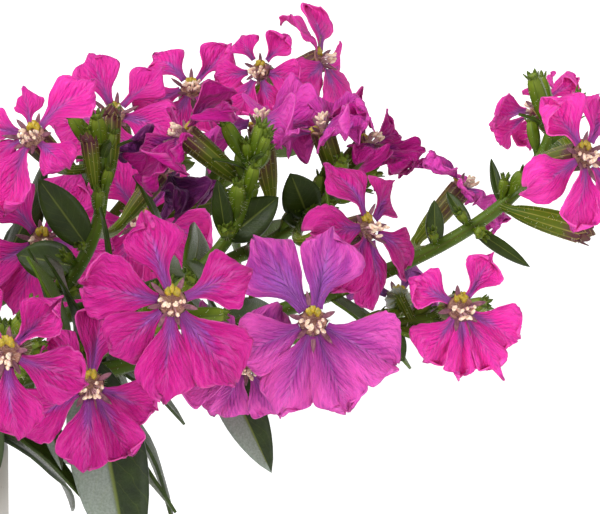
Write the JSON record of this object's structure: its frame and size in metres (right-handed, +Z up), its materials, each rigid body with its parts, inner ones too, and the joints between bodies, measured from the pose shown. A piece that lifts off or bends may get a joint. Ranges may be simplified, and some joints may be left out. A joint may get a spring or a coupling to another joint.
{
  "type": "potted cuphea",
  "caption": "Bushy cuphea in full flower in a plain tapered pot: arching leafy stems, ribbed calyx tubes and ruffled six-petalled magenta blooms.",
  "frame": {"origin": "centre of the pot's underside, on the face that it stands on", "axes": "+Z up along the pot's axis; +X towards the stems that arch furthest, on the picture's right; -Y towards the picture's viewer"},
  "size_m": [0.3038, 0.2214, 0.2195],
  "materials": {
    "pot": "satin pale stoneware glaze",
    "soil": null,
    "stem": "living green stems, leaves, buds and calyx tubes",
    "bloom": "thin ruffled magenta petals with violet claws and veins"
  },
  "bodies": {
    "root": {"bloom_01": "bloom", "bloom_02": "bloom", "bloom_03": "bloom", "bloom_04": "bloom", "bloom_05": "bloom", "bloom_06": "bloom", "bloom_07": "bloom", "bloom_08": "bloom", "bloom_09": "bloom", "bloom_10": "bloom", "bloom_11": "bloom", "bloom_12": "bloom", "bloom_13": "bloom", "bloom_14": "bloom", "bloom_15": "bloom", "bloom_16": "bloom", "bloom_17": "bloom", "bloom_18": "bloom", "bloom_19": "bloom", "bloom_20": "bloom", "bloom_21": "bloom", "bloom_back_1": "bloom", "bloom_back_2": "bloom", "bloom_back_3": "bloom", "bloom_back_left_1": "bloom", "bloom_back_left_2": "bloom", "bloom_back_left_3": "bloom", "bloom_front_left_1": "bloom", "bloom_front_left_2": "bloom", "bloom_front_left_3": "bloom", "bloom_left_1": "bloom", "bloom_left_2": "bloom", "bloom_left_3": "bloom", "bloom_top_1": "bloom", "bloom_top_2": "bloom", "bloom_top_3": "bloom", "bloom_top_front_1": "bloom", "bloom_top_front_2": "bloom", "bloom_top_front_3": "bloom", "bloom_top_left_1": "bloom", "bloom_top_left_2": "bloom", "bloom_top_left_3": "bloom", "pot": "pot", "soil": "soil", "stem_back": "stem", "stem_back_left": "stem", "stem_back_right": "stem", "stem_back_right_tall": "stem", "stem_front_left": "stem", "stem_front_right": "stem", "stem_front_rim": "stem", "stem_left": "stem", "stem_right_long": "stem", "stem_right_low": "stem", "stem_right_middle": "stem", "stem_right_near": "stem", "stem_right_upper": "stem", "stem_top": "stem", "stem_top_front": "stem", "stem_top_left": "stem"}
  },
  "joints": []
}
